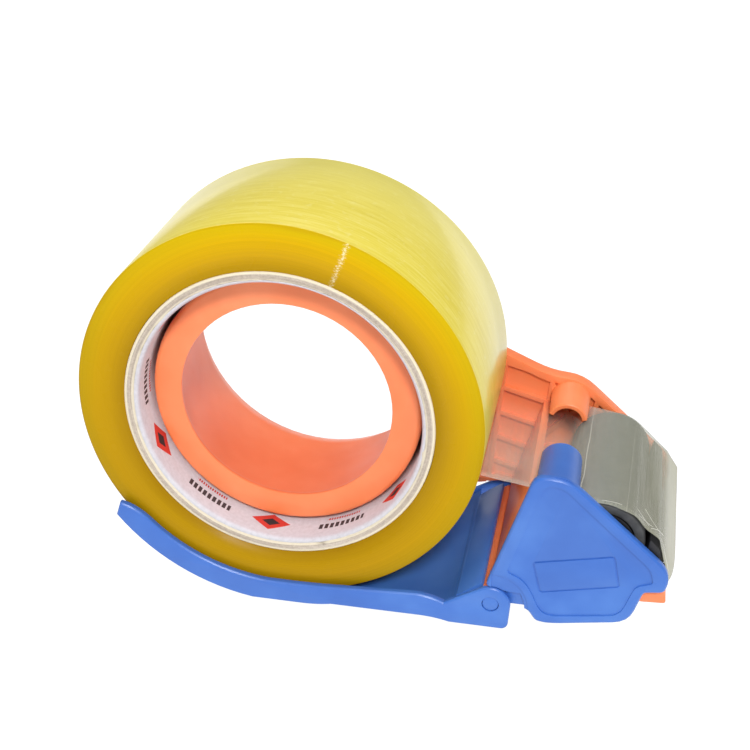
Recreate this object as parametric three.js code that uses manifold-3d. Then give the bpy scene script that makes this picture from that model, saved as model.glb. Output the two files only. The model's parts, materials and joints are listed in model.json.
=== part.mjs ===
// Packing-tape hand dispenser: an orange side frame with a hollow hub, a blue cover plate, a blue
// hold-down arm hinged under the head, a rubber roller, a serrated blade and a part-used tape roll.
// Millimetres. +X runs from the roll to the blade, +Y from the cover plate to the side frame, +Z up.
// Inside the model the origin is on the hub's axis, level with the near face of the tape roll. The
// finished group is shifted so that its origin is under the middle of the bounding box.
import * as THREE from 'three';
import { mergeVertices } from 'three/addons/utils/BufferGeometryUtils.js';
import Module from 'manifold-3d';

const wasm = await Module();
wasm.setup();

// ---- Driving dimensions -------------------------------------------------------------------------
const GAP = 0.3;                    // clearance between pieces that touch in use
const TAPE_WIDTH = 48;
const ROLL_RADIUS = 53.9;
const CORE_OUTER = 41.25;
const CORE_INNER = 38.1;
const LABEL_THICKNESS = 0.25;

const COVER_OUT = -3;               // outer face of the cover plate
const COVER_IN = -0.5;
const SIDE_IN = 50.8;                // floor of the side plate's ribbed face
const SIDE_OUT = 54.5;
const RIB_TOP = 49.8;               // ribs stand this far in from the side plate
const WALL_NEAR = COVER_IN + GAP;
const WALL_FAR = RIB_TOP - GAP;

const HUB_RADIUS = 36.4;
const HUB_WALL = 2;
const HUB_NEAR = 8.6;
const HUB_HOLE = 28.4;
const HUB_FAR_OPENING = 38;
const HUB_COLLAR = 39.7;
const RING_RADIUS = 46.5;           // ring of the side plate around the hub

const PIN = { x: 57.5, z: -48.5, radius: 2.2 };
const BARREL_RADIUS = 5.3;          // outside of the arm's shell and ears around the pin
const BARREL_BORE = 4.3;            // inside of the arm's shell
const SHELL_FROM = degrees(122);    // the shell is open above, between these two angles
const SHELL_TO = degrees(-40);
const KNUCKLE_RADIUS = 4;
const POCKET_RADIUS = 9;
const POCKET_CHAMFER = { radius: 9.9, depth: 0.5 };
const POCKET_TOP = 4.5;             // the wide part of the pocket ends this far above the pin
const EAR_THICKNESS = 1.3;
const RIM_THICKNESS = 2;

const ARM_OUTER = 56.9;             // arm's outer radius about the hub's axis
const ARM_FLOOR = 54.7;
const RIM_TOP_RADIUS = 50;          // the rims overlap the roll's faces down to this radius
const GROUND = -56.3;
const ARM_TIP_ANGLE = degrees(216.5);

const ROLLER = { x: 85, z: -26.5, radius: 10.8, near: 0.9, far: 49.1 };
const SPOOL_RADIUS = 8;
const AXLE_RADIUS = 2.5;
const AXLE_SOCKET = 1.3;            // depth of the axle's sockets in the two plates
const RUNNING_CLEARANCE = 0.1;

const HOOD = { x: 72.5, z: -13.6, root: 6.4, outer: 5.5, inner: 4.2, nearEnd: 16.5, farStart: 37 };
const HOOD_COLLAR = 1.6;            // length of the hood's thick root
const HOOD_TAPER_END = 3.4;         // its fast taper ends this far from its root
const HOOD_ARCH = [10, 55, 115, 158].map(degrees);
const POST_CENTRES = [[68.6, -33.2], [70.5, -43.5], [88, -43]];
const POST_RADIUS = 3;
const CASE_SCREW = { head: 2.6, headHeight: 1.2, shank: 1.2, length: 9 };

const BLADE_THICKNESS = 0.6;
const BLADE_TOP = -35.5;
const BLADE_BACK = 94.8;
const BLADE_ROOT = 101;
const BLADE_TIP = 102.5;
const BLADE_TEETH = 24;
const BLADE_NEAR = 1;
const BLADE_FAR = 49;
const BLADE_SCREW = { head: 2.1, headHeight: 1.2, shank: 1.1, x: 97.9, ys: [12, 38] };
const LIP_BOTTOM = -43.6;
const LIP_FRONT = 102.7;

const WEB_THICKNESS = 0.3;
const WEB_START = { x: 54.35, z: -10.6 };
const WEB_CORNER = { x: 100.5, z: -26.6 };
const WEB_END = { x: 104.6, z: -34 };

const ROUND = 64;                   // facets round the roll and the hub
const SMALL_ROUND = 24;             // facets round pins, screws and posts
const MEDIUM_ROUND = 48;            // facets round the hoods and the roller
const BEYOND = 20;                  // reach of a cutting box past the hinge pin
const MOST_OF_EDGE = 0.48;          // share of an edge that a corner's rounding may take

// ---- Materials ----------------------------------------------------------------------------------
const finish = {
  orange: { color: 0xfb8a55, roughness: 0.42, metalness: 0 },
  blue: { color: 0x4f80d6, roughness: 0.4, metalness: 0 },
  rubber: { color: 0x303033, roughness: 0.75, metalness: 0 },
  blackPlastic: { color: 0x1e1e20, roughness: 0.5, metalness: 0 },
  steel: { color: 0xb9bcc0, roughness: 0.3, metalness: 1 },
  winding: { color: 0xd9b418, roughness: 0.3, metalness: 0 },
  paper: { color: 0xcfc4b4, roughness: 0.9, metalness: 0 },
  label: { color: 0xe4d8d8, roughness: 0.7, metalness: 0 },
  film: { color: 0xd8d8c8, roughness: 0.15, metalness: 0 },
};

function material(name) {
  return new THREE.MeshStandardMaterial({ name, ...finish[name] });
}

// ---- Geometry helpers ---------------------------------------------------------------------------
function degrees(angle) {
  return THREE.MathUtils.degToRad(angle);
}

function polar(radius, angle, centre = { x: 0, z: 0 }) {
  return new THREE.Vector2(centre.x + radius * Math.cos(angle), centre.z + radius * Math.sin(angle));
}

// A closed outline through corners [x, z, rounding]; the rounding is cut back along both edges.
function outline(corners) {
  const shape = new THREE.Shape();
  const count = corners.length;
  corners.forEach(([x, z, rounding = 0], i) => {
    const corner = new THREE.Vector2(x, z);
    const before = new THREE.Vector2(...corners[(i + count - 1) % count]);
    const after = new THREE.Vector2(...corners[(i + 1) % count]);
    const cutIn = Math.min(rounding, MOST_OF_EDGE * before.distanceTo(corner));
    const cutOut = Math.min(rounding, MOST_OF_EDGE * after.distanceTo(corner));
    const enter = before.sub(corner).setLength(cutIn).add(corner);
    const leave = after.sub(corner).setLength(cutOut).add(corner);
    if (i === 0) {
      shape.moveTo(enter.x, enter.y);
    } else {
      shape.lineTo(enter.x, enter.y);
    }
    if (rounding > 0) {
      shape.quadraticCurveTo(x, z, leave.x, leave.y);
    }
  });
  shape.closePath();
  return shape;
}

// Moves every edge of a clockwise or anticlockwise corner list inwards by a distance.
function inset(corners, distance) {
  const points = corners.map(([x, z]) => new THREE.Vector2(x, z));
  const turn = Math.sign(THREE.ShapeUtils.area(points));
  return corners.map(([, , rounding = 0], i) => {
    const count = points.length;
    const point = points[i];
    const into = point.clone().sub(points[(i + count - 1) % count]).normalize();
    const out = points[(i + 1) % count].clone().sub(point).normalize();
    const normal = new THREE.Vector2(-into.y - out.y, into.x + out.x).normalize();
    const reach = distance / Math.max(0.3, normal.dot(new THREE.Vector2(-into.y, into.x)));
    const moved = point.clone().addScaledVector(normal, turn * reach);
    return [moved.x, moved.y, Math.max(0, rounding - distance)];
  });
}

// The outline of a strip of constant thickness along a chain of points.
function strip(chain, thickness) {
  const side = (sign) => chain.map((point, i) => {
    const into = chain[Math.max(i, 1)].clone().sub(chain[Math.max(i, 1) - 1]).normalize();
    const next = Math.min(i + 1, chain.length - 1);
    const out = chain[next].clone().sub(chain[next - 1]).normalize();
    const normal = new THREE.Vector2(-into.y - out.y, into.x + out.x).normalize();
    const reach = thickness / 2 / normal.dot(new THREE.Vector2(-into.y, into.x));
    return point.clone().addScaledVector(normal, sign * reach);
  });
  return new THREE.Shape([...side(1), ...side(-1).reverse()]);
}

function toSolid(geometry) {
  const bare = geometry.clone();
  bare.deleteAttribute('normal');
  bare.deleteAttribute('uv');
  const merged = mergeVertices(bare, 1e-4);
  return new wasm.Manifold(new wasm.Mesh({
    numProp: 3,
    vertProperties: merged.attributes.position.array,
    triVerts: Uint32Array.from(merged.index.array),
  }));
}

function toGeometry(solid) {
  const { vertProperties, triVerts } = solid.getMesh();
  const geometry = new THREE.BufferGeometry();
  geometry.setAttribute('position', new THREE.BufferAttribute(vertProperties, 3));
  geometry.setIndex(new THREE.BufferAttribute(triVerts, 1));
  geometry.computeVertexNormals();
  return geometry;
}

// A solid with an XZ outline, from y0 to y1, with its edges rounded by bevel.
function prism(shape, y0, y1, bevel = 0, curveSegments = 4) {
  const geometry = new THREE.ExtrudeGeometry(shape, {
    depth: y1 - y0 - 2 * bevel,
    bevelEnabled: bevel > 0,
    bevelThickness: bevel,
    bevelSize: bevel,
    bevelOffset: -bevel,
    bevelSegments: 1,
    curveSegments,
  });
  geometry.rotateX(Math.PI / 2).translate(0, y1 - bevel, 0);
  return toSolid(geometry);
}

function disc(centre, radius, y0, y1, facets = SMALL_ROUND) {
  const geometry = new THREE.CylinderGeometry(radius, radius, y1 - y0, facets);
  geometry.translate(centre.x, (y0 + y1) / 2, centre.z);
  return toSolid(geometry);
}

function box(x0, x1, y0, y1, z0, z1) {
  const geometry = new THREE.BoxGeometry(x1 - x0, y1 - y0, z1 - z0);
  geometry.translate((x0 + x1) / 2, (y0 + y1) / 2, (z0 + z1) / 2);
  return toSolid(geometry);
}

// A solid of revolution about the Y axis; the profile is a closed anticlockwise list of [r, y].
function turned(profile, facets = ROUND) {
  const points = [...profile, profile[0]].map(([r, y]) => new THREE.Vector2(r, y));
  return toSolid(new THREE.LatheGeometry(points, facets));
}

function tube(inner, outer, y0, y1, facets = ROUND) {
  return turned([[inner, y0], [outer, y0], [outer, y1], [inner, y1]], facets);
}

function piece(name, solid, finishName) {
  const mesh = new THREE.Mesh(toGeometry(solid), material(finishName));
  mesh.name = name;
  return mesh;
}

// ---- Head outline, shared by the two plates -----------------------------------------------------
const HEAD_FRONT = [
  [75.6, -7.3, 5],
  [101.6, -30.8, 3],
  [102.6, -34.6, 1.5],
  [101.7, -38.2, 1.2],
  [96.6, -38.9, 1],
  [93.6, -49, 4],
  [73, -52.7, 4],
  [69.6, -52.2, 1],
  [67.2, -48.6, 1.5],
  [63.6, -48.4, 0],
];
const COVER_OUTLINE = [[67, -7.3, 3], ...HEAD_FRONT, [62.4, -44, 0], [55.9, -42.8, 1.5]];
const NECK_OUTLINE = [
  [38, 6, 0],
  [54.5, -1.5, 6],
  [66.5, -6.8, 5],
  ...HEAD_FRONT,
  [60, -44, 0],
  [53.8, -43.1, 2],
  [46, -45.4, 6],
  [18, -42, 0],
];

// Room for the arm's ear to turn, cut into a plate around the hinge pin.
function hingePocket(y0, y1) {
  const wide = disc(PIN, POCKET_RADIUS, y0, y1);
  const above = box(PIN.x - BEYOND, PIN.x + BEYOND, y0 - 1, y1 + 1, PIN.z + POCKET_TOP, PIN.z + BEYOND);
  return wide.subtract(above).add(disc(PIN, BARREL_RADIUS + 0.45, y0, y1));
}

// Thin floor behind the ear, on the side of the pin that the arm never crosses.
function pocketFloor(y0, y1) {
  const left = PIN.x - 0.6;
  const low = PIN.z + 0.1;
  const overlap = 0.4;
  const quarter = box(left, PIN.x + BEYOND, y0 - 1, y1 + 1, low, PIN.z + BEYOND);
  const floor = disc(PIN, POCKET_RADIUS + overlap, y0, y1).intersect(quarter);
  return floor.subtract(disc(PIN, PIN.radius + GAP, y0 - 1, y1 + 1));
}

// The arched hood over the tape: a drafted tube from its root in a plate to its free end, cut open.
function hood(rootY, endY) {
  const towards = Math.sign(endY - rootY);
  const edge = 0.3;
  const profile = [
    [HOOD.inner, rootY],
    [HOOD.root, rootY],
    [HOOD.root - 0.2, rootY + towards * HOOD_COLLAR],
    [HOOD.outer + edge, rootY + towards * HOOD_TAPER_END],
    [HOOD.outer, endY - towards * edge],
    [HOOD.outer - edge, endY],
    [HOOD.inner, endY],
  ];
  if (towards < 0) {
    profile.reverse();
  }
  const drafted = turned(profile, MEDIUM_ROUND).translate([HOOD.x, 0, HOOD.z]);
  const reach = 2 * HOOD.root;
  const corners = HOOD_ARCH.map((angle) => polar(reach, angle, HOOD));
  const arch = new THREE.Shape([new THREE.Vector2(HOOD.x, HOOD.z), ...corners]);
  return drafted.intersect(prism(arch, Math.min(rootY, endY) - 1, Math.max(rootY, endY) + 1));
}

function axleSocket(y0, y1) {
  return disc(ROLLER, AXLE_RADIUS + GAP, y0, y1);
}

// ---- Cover plate, with its hood and the posts that the case screws enter ------------------------
function coverPanelShape() {
  return outline([
    [69.6, -9.6, 2.5],
    [74.4, -9.8, 2],
    [97.8, -31.4, 2],
    [98.8, -35.6, 1],
    [94.4, -37.2, 1.5],
    [91.2, -47, 3],
    [73, -50, 3],
    [70.4, -48.4, 2],
    [66.5, -39.6, 5],
    [61.2, -37.4, 1.5],
  ]);
}

// Groove round the plain nameplate field.
function nameplateGroove(y0, y1) {
  const width = 0.5;
  const corners = [[67.7, -33.4, 1], [88.6, -28.6, 1], [90.6, -38.2, 1], [70.1, -43, 1]];
  const field = prism(outline(inset(corners, width)), y0 - 1, y1 + 1);
  return prism(outline(corners), y0, y1).subtract(field);
}

// Wider, shallow step round the cover's pocket.
function pocketChamfer() {
  const depth = COVER_OUT + POCKET_CHAMFER.depth;
  const step = disc(PIN, POCKET_CHAMFER.radius, COVER_OUT - 1, depth, MEDIUM_ROUND);
  const { x, z } = PIN;
  const leftHalf = box(x - BEYOND, x, COVER_OUT - 2, COVER_IN, z - BEYOND, z + BEYOND);
  return step.subtract(leftHalf);
}

function coverPlate() {
  const panelDepth = 0.5;
  const grooveDepth = 0.3;
  let plate = prism(outline(COVER_OUTLINE), COVER_OUT, COVER_IN, 0.5);
  plate = plate.subtract(prism(coverPanelShape(), COVER_OUT - 1, COVER_OUT + panelDepth));
  plate = plate.subtract(nameplateGroove(COVER_OUT, COVER_OUT + panelDepth + grooveDepth));
  plate = plate.subtract(pocketChamfer());
  plate = plate.subtract(hingePocket(COVER_OUT - 1, COVER_IN + 1));
  plate = plate.add(pocketFloor(COVER_IN - 0.9, COVER_IN));
  plate = plate.add(hood(COVER_OUT + 1, HOOD.nearEnd));
  for (const [x, z] of POST_CENTRES) {
    plate = plate.add(disc({ x, z }, POST_RADIUS, COVER_IN - 0.5, WALL_FAR));
    plate = plate.subtract(disc({ x, z }, CASE_SCREW.shank + GAP, WALL_FAR - 10, WALL_FAR + 1));
  }
  return plate.subtract(axleSocket(COVER_IN - AXLE_SOCKET, COVER_IN + 1));
}

// ---- Side plate: neck, hub ring, ribs and the far hood ------------------------------------------
function ringRim() {
  return tube(HUB_COLLAR + GAP, RING_RADIUS, RIB_TOP, SIDE_OUT);
}

function perimeterRib() {
  const width = 2;
  const hollow = [
    [38, 6, 0],
    [54.5, -1.5, 6],
    [66.5, -6.8, 5],
    ...HEAD_FRONT.slice(0, 6),
    [64, -46, 2],
    [53.8, -43.1, 2],
    [46, -45.4, 6],
    [18, -42, 0],
  ];
  const inside = prism(outline(inset(hollow, width)), RIB_TOP - 1, SIDE_OUT);
  return prism(outline(NECK_OUTLINE), RIB_TOP, SIDE_IN + 0.5).subtract(inside);
}

// Straight rib from one point to another, standing on the plate's inner face.
function rib(x0, z0, x1, z1, thickness = 1.4) {
  const chain = [new THREE.Vector2(x0, z0), new THREE.Vector2(x1, z1)];
  return prism(strip(chain, thickness), RIB_TOP, SIDE_IN + 0.5);
}

function ladderRibs() {
  const spacing = 8.2;
  const count = 5;
  let ribs = rib(53.6, -3, 50.4, -42);
  ribs = ribs.add(rib(67.3, -7.6, 63.4, -42));
  for (let i = 0; i < count; i += 1) {
    const z = -3.6 - i * spacing;
    ribs = ribs.add(rib(53.4 - i * 0.6, z, 66.8 - i * 0.9, z - 3.6));
  }
  ribs = ribs.add(rib(67, -9, 76, -26));
  ribs = ribs.add(rib(66, -26, 77, -14));
  ribs = ribs.add(rib(80.5, -13, 76, -26));
  return ribs;
}

function sidePlate() {
  let plate = prism(outline(NECK_OUTLINE), SIDE_IN, SIDE_OUT, 0.5);
  plate = plate.add(perimeterRib());
  plate = plate.add(ladderRibs().intersect(prism(outline(NECK_OUTLINE), RIB_TOP - 1, SIDE_OUT)));
  plate = plate.add(disc({ x: 0, z: 0 }, RING_RADIUS, SIDE_IN, SIDE_OUT, ROUND));
  plate = plate.subtract(disc({ x: 0, z: 0 }, HUB_COLLAR + GAP, RIB_TOP - 1, SIDE_OUT + 1, ROUND));
  plate = plate.add(ringRim());
  plate = plate.subtract(hingePocket(RIB_TOP - 1, SIDE_OUT + 1));
  plate = plate.add(pocketFloor(SIDE_IN, SIDE_IN + 0.9));
  plate = plate.add(hood(SIDE_OUT - 1, HOOD.farStart));
  for (const [x, z] of POST_CENTRES) {
    plate = plate.add(disc({ x, z }, POST_RADIUS + 1, RIB_TOP, SIDE_IN + 0.5));
    plate = plate.subtract(disc({ x, z }, CASE_SCREW.shank + GAP, RIB_TOP - 1, SIDE_OUT + 1));
    const sinkTop = SIDE_OUT - CASE_SCREW.headHeight - GAP;
    plate = plate.subtract(disc({ x, z }, CASE_SCREW.head + GAP, sinkTop, SIDE_OUT + 1));
  }
  plate = plate.add(disc(ROLLER, AXLE_RADIUS + 2, RIB_TOP, SIDE_IN + 0.5));
  return plate.subtract(axleSocket(RIB_TOP - 1, RIB_TOP + AXLE_SOCKET));
}

// ---- Hub drum: a drafted tube with an inward flange at its near end -----------------------------
function hubDrum() {
  return turned([
    [HUB_HOLE, HUB_NEAR],
    [HUB_RADIUS - 0.8, HUB_NEAR],
    [HUB_RADIUS, HUB_NEAR + 0.8],
    [HUB_RADIUS, RIB_TOP - GAP],
    [HUB_COLLAR, RIB_TOP],
    [HUB_COLLAR, SIDE_OUT],
    [HUB_FAR_OPENING, SIDE_OUT],
    [HUB_RADIUS - HUB_WALL + 0.9, RIB_TOP - 2],
    [HUB_RADIUS - HUB_WALL - 0.6, HUB_NEAR + 4],
    [HUB_RADIUS - HUB_WALL - 2, HUB_NEAR + HUB_WALL + 0.4],
    [HUB_HOLE + 0.4, HUB_NEAR + HUB_WALL],
  ]);
}

// ---- Frame wall: back wall, floor and front lip of the head, with the hinge knuckle -------------
function frameWall() {
  const thickness = 2;
  const chain = [
    [66.2, -14.8],
    [58.5, -41.6],
    [60.6, -43],
    [64.6, -46.4],
    [70.2, -50.6],
    [90.2, -47],
    [94.6, -41.6],
  ].map(([x, z]) => new THREE.Vector2(x, z));
  let wall = prism(strip(chain, thickness), WALL_NEAR, WALL_FAR);
  const lip = outline([
    [95.6, BLADE_TOP - BLADE_THICKNESS - GAP],
    [LIP_FRONT - 1.4, BLADE_TOP - BLADE_THICKNESS - GAP, 0.8],
    [LIP_FRONT, LIP_BOTTOM + 0.4, 1],
    [96, LIP_BOTTOM, 1],
    [93.2, LIP_BOTTOM + 0.6],
    [93.6, LIP_BOTTOM + 2.4],
  ]);
  wall = wall.add(prism(lip, WALL_NEAR, WALL_FAR));
  wall = wall.subtract(hingeClearance());
  wall = wall.add(knuckle());
  for (const [x, z] of POST_CENTRES) {
    wall = wall.subtract(disc({ x, z }, POST_RADIUS + GAP, WALL_NEAR - 1, WALL_FAR + 1));
  }
  for (const y of BLADE_SCREW.ys) {
    wall = wall.subtract(uprightHole(y, BLADE_SCREW.shank + GAP, LIP_BOTTOM - 2, BLADE_TOP));
    const seat = LIP_BOTTOM + BLADE_SCREW.headHeight + GAP;
    wall = wall.subtract(uprightHole(y, BLADE_SCREW.head + GAP, LIP_BOTTOM - 2, seat));
  }
  return wall;
}

function hingeClearance() {
  return disc(PIN, BARREL_RADIUS + 0.4, WALL_NEAR - 1, WALL_FAR + 1);
}

// Barrel along the wall's bottom edge, between the arm's two ears.
function knuckle() {
  const root = outline([[57.6, -46.5], [57.6, -42.6], [57.8, -41], [60.4, -41.4], [60.6, -45.4]]);
  const solid = disc(PIN, KNUCKLE_RADIUS, WALL_NEAR, WALL_FAR);
  const joined = solid.add(prism(root, WALL_NEAR, WALL_FAR));
  return joined.subtract(disc(PIN, PIN.radius + GAP, WALL_NEAR - 1, WALL_FAR + 1));
}

function uprightHole(y, radius, z0, z1) {
  const geometry = new THREE.CylinderGeometry(radius, radius, z1 - z0, 24);
  geometry.rotateX(Math.PI / 2).translate(BLADE_SCREW.x, y, (z0 + z1) / 2);
  return toSolid(geometry);
}

// ---- Hold-down arm: a curved channel with two rims, two ears and two hinge barrels --------------
function rimShape() {
  const shape = new THREE.Shape();
  const lipStart = degrees(223);
  const lipEnd = degrees(266);
  const earStart = degrees(118);
  const foot = Math.asin(GROUND / ARM_OUTER);
  shape.moveTo(...polar(ARM_OUTER, ARM_TIP_ANGLE));
  shape.lineTo(...polar(53.4, degrees(213.8)));
  shape.quadraticCurveTo(...polar(50.6, degrees(217)), ...polar(RIM_TOP_RADIUS, lipStart));
  shape.absarc(0, 0, RIM_TOP_RADIUS, lipStart, lipEnd, false);
  shape.quadraticCurveTo(6, -50, 12, -49.7);
  shape.lineTo(37.5, -48.1);
  shape.quadraticCurveTo(42, -48.4, 45, -50);
  shape.quadraticCurveTo(49, -47.6, ...polar(BARREL_RADIUS, earStart, PIN));
  shape.absarc(PIN.x, PIN.z, BARREL_RADIUS, earStart, degrees(-5), true);
  shape.lineTo(62.4, -54.6);
  shape.quadraticCurveTo(62, GROUND, 60.4, GROUND);
  shape.lineTo(46.5, GROUND);
  shape.quadraticCurveTo(43, -55.4, 39, -55.3);
  shape.lineTo(14, -55.4);
  shape.quadraticCurveTo(10, GROUND, 5, GROUND);
  shape.absarc(0, 0, ARM_OUTER, -Math.PI - foot, -2 * Math.PI + ARM_TIP_ANGLE, true);
  shape.closePath();
  return shape;
}

function floorShape() {
  const shape = new THREE.Shape();
  const foot = Math.asin(GROUND / ARM_OUTER);
  shape.moveTo(...polar(ARM_OUTER, ARM_TIP_ANGLE));
  shape.lineTo(...polar(ARM_FLOOR, ARM_TIP_ANGLE - degrees(0.6)));
  shape.absarc(0, 0, ARM_FLOOR, ARM_TIP_ANGLE - degrees(0.6), degrees(270), false);
  shape.lineTo(32, -53.9);
  shape.quadraticCurveTo(42, -53.6, 47.5, -49.6);
  shape.lineTo(47.5, -52.4);
  shape.quadraticCurveTo(43, -55.4, 39, -55.3);
  shape.lineTo(14, -55.4);
  shape.quadraticCurveTo(10, GROUND, 5, GROUND);
  shape.absarc(0, 0, ARM_OUTER, -Math.PI - foot, -2 * Math.PI + ARM_TIP_ANGLE, true);
  shape.closePath();
  return shape;
}

function rampShape() {
  const shape = new THREE.Shape();
  shape.moveTo(47, -50);
  shape.quadraticCurveTo(50.4, -47, ...polar(BARREL_RADIUS, degrees(128), PIN));
  shape.lineTo(PIN.x - 3.5, PIN.z + 1);
  shape.quadraticCurveTo(50.5, -50, 47, -52.8);
  shape.closePath();
  return shape;
}

function holdDownArm() {
  const thickUpTo = PIN.x - POCKET_RADIUS - 1;
  const curveSteps = 7;
  const nearRim = prism(rimShape(), COVER_OUT, COVER_OUT + RIM_THICKNESS, 0.4, curveSteps);
  const farRim = prism(rimShape(), SIDE_OUT - RIM_THICKNESS, SIDE_OUT, 0.4, curveSteps);
  const nearEar = COVER_OUT + EAR_THICKNESS;
  const farEar = SIDE_OUT - EAR_THICKNESS;
  let arm = nearRim.add(farRim);
  arm = arm.subtract(box(thickUpTo, PIN.x + BEYOND, nearEar, farEar, GROUND - 1, PIN.z + BEYOND));
  arm = arm.add(prism(floorShape(), COVER_OUT + 0.6, SIDE_OUT - 0.6, 0, curveSteps));
  arm = arm.add(prism(rampShape(), WALL_NEAR + 0.1, WALL_FAR));
  arm = arm.add(earBridge(COVER_OUT + 0.6, WALL_NEAR + 1));
  arm = arm.add(earBridge(WALL_FAR - 1, SIDE_OUT - 0.6));
  arm = arm.add(disc(PIN, BARREL_RADIUS, WALL_NEAR + 0.1, WALL_FAR));
  arm = arm.subtract(disc(PIN, BARREL_BORE, nearEar, farEar)).subtract(shellOpening(nearEar, farEar));
  return arm.subtract(disc(PIN, PIN.radius + RUNNING_CLEARANCE, COVER_OUT - 1, SIDE_OUT + 1));
}

// Fills the corner between an ear and the ramp, left of the swept room of the plates.
function earBridge(y0, y1) {
  const shape = outline([[46.6, -50.4], [48, -49.1], [48, -52.2], [46.6, -53.2]]);
  return prism(shape, y0, y1);
}

// The shell leaves the wall's root free above the pin.
function shellOpening(y0, y1) {
  const reach = 12;
  const open = [SHELL_FROM, degrees(80), degrees(20), SHELL_TO].map((angle) => polar(reach, angle, PIN));
  return prism(new THREE.Shape([new THREE.Vector2(PIN.x, PIN.z), ...open]), y0, y1);
}

function hingePin() {
  return disc(PIN, PIN.radius, COVER_OUT + 0.2, SIDE_OUT - 0.2);
}

// ---- Roller ------------------------------------------------------------------------------------
function atRoller(solid) {
  return solid.translate([ROLLER.x, 0, ROLLER.z]);
}

function rollerSleeve() {
  const r = ROLLER.radius;
  const { near, far } = ROLLER;
  const edge = 0.5;
  const inner = SPOOL_RADIUS + GAP;
  return atRoller(turned([
    [inner, near], [r - edge, near], [r, near + edge], [r, far - edge], [r - edge, far], [inner, far],
  ], MEDIUM_ROUND));
}

function rollerSpool() {
  const recess = 1.6;
  const { near, far } = ROLLER;
  const bore = AXLE_RADIUS + RUNNING_CLEARANCE;
  return atRoller(turned([
    [bore, near], [4.4, near], [4.9, near + recess], [6.6, near + recess], [7, near],
    [SPOOL_RADIUS, near], [SPOOL_RADIUS, far], [7, far], [6.6, far - recess],
    [4.9, far - recess], [4.4, far], [bore, far],
  ], SMALL_ROUND));
}

function rollerAxle() {
  const end = AXLE_SOCKET - GAP;
  return disc(ROLLER, AXLE_RADIUS, COVER_IN - end, RIB_TOP + end);
}

// ---- Blade, guard and their screws --------------------------------------------------------------
function bladeStrip() {
  const shape = new THREE.Shape();
  const pitch = (BLADE_FAR - BLADE_NEAR) / BLADE_TEETH;
  shape.moveTo(BLADE_BACK, BLADE_NEAR);
  shape.lineTo(BLADE_ROOT, BLADE_NEAR);
  for (let i = 0; i < BLADE_TEETH; i += 1) {
    const y = BLADE_NEAR + i * pitch;
    shape.lineTo(BLADE_TIP, y + pitch / 2);
    shape.lineTo(BLADE_ROOT, y + pitch);
  }
  shape.lineTo(BLADE_BACK, BLADE_FAR);
  shape.closePath();
  const geometry = new THREE.ExtrudeGeometry(shape, { depth: BLADE_THICKNESS, bevelEnabled: false });
  geometry.translate(0, 0, BLADE_TOP - BLADE_THICKNESS);
  let blade = toSolid(geometry);
  for (const y of BLADE_SCREW.ys) {
    blade = blade.subtract(uprightHole(y, BLADE_SCREW.shank + GAP, BLADE_TOP - 3, BLADE_TOP + 3));
  }
  return blade;
}

function bladeGuard() {
  const under = BLADE_TOP + GAP;
  const shape = outline([
    [96.9, -23.9, 0.8],
    [99.7, -26.9, 1],
    [99.9, -32.6, 1],
    [99, under, 0.7],
    [95, under, 0.7],
    [95.6, -31.2, 1],
    [96.2, -28, 1],
  ]);
  let guard = prism(shape, WALL_NEAR, WALL_FAR);
  for (const y of BLADE_SCREW.ys) {
    guard = guard.subtract(uprightHole(y, BLADE_SCREW.shank + 0.15, under - 1, under + 4.4));
  }
  return guard;
}

function bladeScrew(y) {
  const { head, headHeight, shank, x } = BLADE_SCREW;
  const top = BLADE_TOP + 4;
  const profile = [
    [0, LIP_BOTTOM], [head - 0.4, LIP_BOTTOM], [head, LIP_BOTTOM + 0.4],
    [head, LIP_BOTTOM + headHeight], [shank, LIP_BOTTOM + headHeight], [shank, top - 0.8], [0, top],
  ].map(([r, z]) => new THREE.Vector2(r, z));
  const geometry = new THREE.LatheGeometry(profile, 24);
  geometry.rotateX(Math.PI / 2).translate(x, y, 0);
  return toSolid(geometry);
}

// ---- Case screws: cross-recessed pan heads sunk in the side plate -------------------------------
function caseScrew([x, z]) {
  const { head, headHeight, shank, length } = CASE_SCREW;
  const under = SIDE_OUT - headHeight;
  const profile = [
    [0, under - length], [shank, under - length + 1], [shank, under], [head, under],
    [head, SIDE_OUT - 0.5], [head - 0.7, SIDE_OUT - 0.1], [0, SIDE_OUT - 0.1],
  ].map(([r, y]) => new THREE.Vector2(r, y));
  const geometry = new THREE.LatheGeometry(profile, 24);
  geometry.translate(x, 0, z);
  let screw = toSolid(geometry);
  const slot = 0.35;
  const arm = 1.5;
  screw = screw.subtract(box(x - arm, x + arm, SIDE_OUT - 0.9, SIDE_OUT + 1, z - slot, z + slot));
  return screw.subtract(box(x - slot, x + slot, SIDE_OUT - 0.9, SIDE_OUT + 1, z - arm, z + arm));
}

// ---- Tape roll and the length of tape that is pulled off ----------------------------------------
function tapeWinding() {
  const edge = 0.4;
  const r = ROLL_RADIUS;
  const inner = CORE_OUTER + GAP;
  const w = TAPE_WIDTH;
  return turned([[inner, 0], [r - edge, 0], [r, edge], [r, w - edge], [r - edge, w], [inner, w]]);
}

function coreTube() {
  return tube(CORE_INNER, CORE_OUTER, 0, TAPE_WIDTH);
}

function coreLabel() {
  const outer = CORE_INNER - 0.2;
  const margin = 0.4;
  return tube(outer - LABEL_THICKNESS, outer, margin, TAPE_WIDTH - margin);
}

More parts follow.
